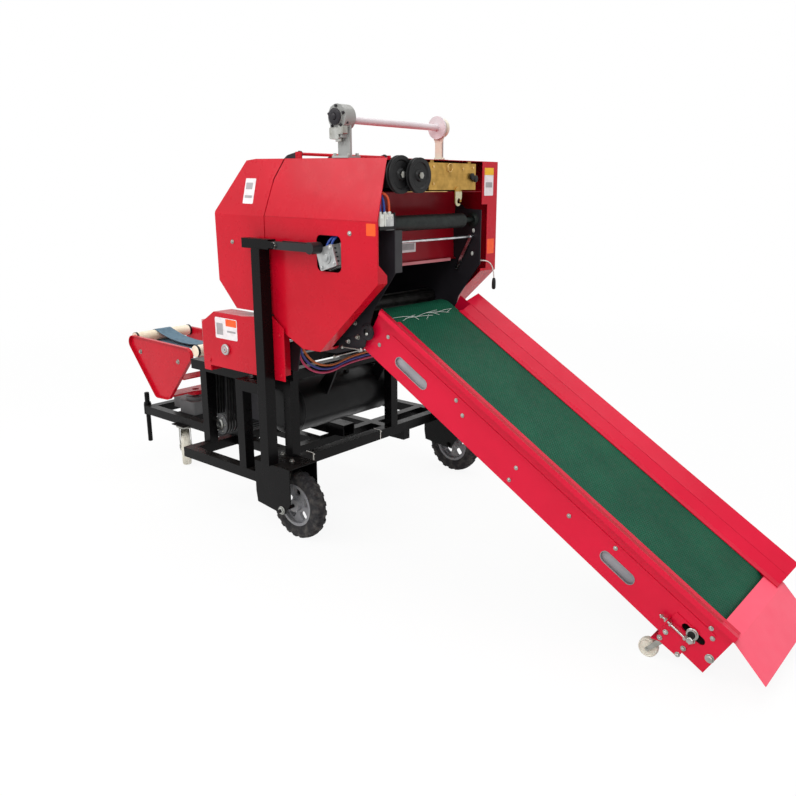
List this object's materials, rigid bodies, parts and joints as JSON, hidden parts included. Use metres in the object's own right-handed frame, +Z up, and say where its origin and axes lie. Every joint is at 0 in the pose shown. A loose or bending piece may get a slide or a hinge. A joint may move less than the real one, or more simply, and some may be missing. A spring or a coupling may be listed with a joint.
{
  "type": "small round silage baler with wrapping turntable and feed conveyor",
  "caption": "Small round baler on a wheeled tube frame, with a roller chamber, a lifting rear gate, a wrapping turntable behind and an inclined feed conveyor in front.",
  "frame": {"origin": "on the floor under the middle of the machine's length and width", "axes": "+X runs forward to the conveyor's tail, +Y away from the control post, +Z up"},
  "size_m": [3.3876, 1.3225, 1.7399],
  "materials": {
    "red_paint": "gloss",
    "black_paint": "gloss",
    "dark_paint": "satin",
    "grey_paint": "satin",
    "pale_grey_paint": "satin",
    "pink_tray_paint": "satin",
    "zinc_plate": "satin",
    "bright_steel": "satin",
    "drum_steel": "satin",
    "cast_iron": "rough",
    "aluminium": "satin",
    "tyre_rubber": "matt",
    "black_rubber": "matt",
    "roller_rubber": "matt",
    "green_belt": "matt",
    "table_belt": "matt",
    "black_plastic": "matt",
    "beige_plastic": "matt",
    "cream_plastic": "satin",
    "hose_plastic": "satin",
    "cord_fabric": "matt"
  },
  "bodies": {
    "chassis": {"base_frame": "black_paint", "wheel_fork_near": "black_paint", "wheel_fork_far": "black_paint", "tow_pin": "black_paint", "deck_frame": "black_paint", "control_post": "black_paint", "chamber_plates": "dark_paint", "chamber_ties": "dark_paint", "side_covers": "red_paint", "front_guard": "red_paint", "winding_bracket": "zinc_plate", "brake_block": "black_plastic", "feed_rod": "bright_steel", "valve_blocks": "aluminium", "chamber_rollers": "drum_steel", "net_stand": "pale_grey_paint", "drive_hood": "red_paint", "motor": "black_paint", "belt_pulleys": "cast_iron", "drive_belts": "black_rubber", "air_tank": "black_paint", "lift_socket": "black_paint", "turntable_gear": "cast_iron", "hose_glands": "black_plastic", "air_hose_low": "hose_plastic", "air_hose_middle": "hose_plastic", "air_hose_top": "hose_plastic", "pull_cord": "cord_fabric"},
    "gate": {"gate_shell": "dark_paint", "gate_covers": "red_paint", "gate_rollers": "drum_steel"},
    "arm": {"film_arm": "zinc_plate"},
    "feeder": {"feed_roller": "roller_rubber"},
    "net_spindle": {"net_shaft": "bright_steel"},
    "disc_near": {"guide_disc_near": "black_plastic"},
    "disc_middle": {"guide_disc_middle": "black_plastic"},
    "turntable": {"table_frame": "red_paint", "table_rollers": "beige_plastic", "table_belt": "table_belt"},
    "conveyor": {"conveyor_sides": "red_paint", "conveyor_belt": "green_belt", "conveyor_drums": "drum_steel", "conveyor_tray": "pink_tray_paint"},
    "front_wheel_near": {"front_tyre_near": "tyre_rubber", "front_hub_near": "grey_paint"},
    "front_wheel_far": {"front_tyre_far": "tyre_rubber", "front_hub_far": "grey_paint"},
    "rear_fork_near": {"caster_fork_rear_near": "bright_steel"},
    "rear_wheel_near": {"caster_wheel_rear_near": "cream_plastic"},
    "rear_fork_far": {"caster_fork_rear_far": "bright_steel"},
    "rear_wheel_far": {"caster_wheel_rear_far": "cream_plastic"},
    "tail_fork_near": {"caster_fork_tail_near": "bright_steel"},
    "tail_wheel_near": {"caster_wheel_tail_near": "cream_plastic"},
    "tail_fork_far": {"caster_fork_tail_far": "bright_steel"},
    "tail_wheel_far": {"caster_wheel_tail_far": "cream_plastic"}
  },
  "joints": [
    {"name": "gate_hinge", "type": "hinge", "parent": "chassis", "child": "gate", "pos_m": [-0.223, -0.24, 1.574], "axis": [0, 1, 0], "range_deg": [0, 60]},
    {"name": "film_arm_hinge", "type": "hinge", "parent": "chassis", "child": "arm", "pos_m": [-0.188, -0.634, 1.239], "axis": [0, 1, 0], "range_deg": [-90, 0]},
    {"name": "feed_roller_spin", "type": "hinge", "parent": "chassis", "child": "feeder", "pos_m": [0.239, -0.24, 1.329], "axis": [0, 1, 0], "continuous": true},
    {"name": "net_shaft_spin", "type": "hinge", "parent": "chassis", "child": "net_spindle", "pos_m": [0.055, -0.24, 1.688], "axis": [0, 1, 0], "continuous": true},
    {"name": "guide_disc_near_spin", "type": "hinge", "parent": "chassis", "child": "disc_near", "pos_m": [0.294, -0.491, 1.5], "axis": [1, 0, 0], "continuous": true},
    {"name": "guide_disc_middle_spin", "type": "hinge", "parent": "chassis", "child": "disc_middle", "pos_m": [0.316, -0.417, 1.498], "axis": [1, 0, 0], "continuous": true},
    {"name": "table_turn", "type": "hinge", "parent": "chassis", "child": "turntable", "pos_m": [-1.357, -0.24, 0.4], "axis": [0, 0, 1], "continuous": true},
    {"name": "conveyor_hinge", "type": "hinge", "parent": "chassis", "child": "conveyor", "pos_m": [0.14277, -0.24, 0.92842], "axis": [0, 1, 0], "range_deg": [-12, 0]},
    {"name": "front_wheel_near_spin", "type": "hinge", "parent": "chassis", "child": "front_wheel_near", "pos_m": [-0.23, -0.545, 0.15], "axis": [0, 1, 0], "continuous": true},
    {"name": "front_wheel_far_spin", "type": "hinge", "parent": "chassis", "child": "front_wheel_far", "pos_m": [-0.23, 0.545, 0.15], "axis": [0, 1, 0], "continuous": true},
    {"name": "rear_swivel_near", "type": "hinge", "parent": "chassis", "child": "rear_fork_near", "pos_m": [-1.341, -0.333, 0.2], "axis": [0, 0, 1], "continuous": true},
    {"name": "rear_wheel_near_spin", "type": "hinge", "parent": "rear_fork_near", "child": "rear_wheel_near", "pos_m": [-1.37831, -0.30784, 0.1], "axis": [-0.5592, -0.829, 0], "continuous": true},
    {"name": "rear_swivel_far", "type": "hinge", "parent": "chassis", "child": "rear_fork_far", "pos_m": [-1.341, 0.333, 0.2], "axis": [0, 0, 1], "continuous": true},
    {"name": "rear_wheel_far_spin", "type": "hinge", "parent": "rear_fork_far", "child": "rear_wheel_far", "pos_m": [-1.386, 0.333, 0.1], "axis": [0, 1, 0], "continuous": true},
    {"name": "tail_swivel_near", "type": "hinge", "parent": "conveyor", "child": "tail_fork_near", "pos_m": [1.37, -0.45, 0.08], "axis": [0, 0, 1], "range_deg": [-90, 5]},
    {"name": "tail_wheel_near_spin", "type": "hinge", "parent": "tail_fork_near", "child": "tail_wheel_near", "pos_m": [1.318, -0.45, 0.033], "axis": [0, 1, 0], "continuous": true},
    {"name": "tail_swivel_far", "type": "hinge", "parent": "conveyor", "child": "tail_fork_far", "pos_m": [1.37, -0.03, 0.08], "axis": [0, 0, 1], "range_deg": [-5, 90]},
    {"name": "tail_wheel_far_spin", "type": "hinge", "parent": "tail_fork_far", "child": "tail_wheel_far", "pos_m": [1.318, -0.03, 0.033], "axis": [0, 1, 0], "continuous": true}
  ]
}
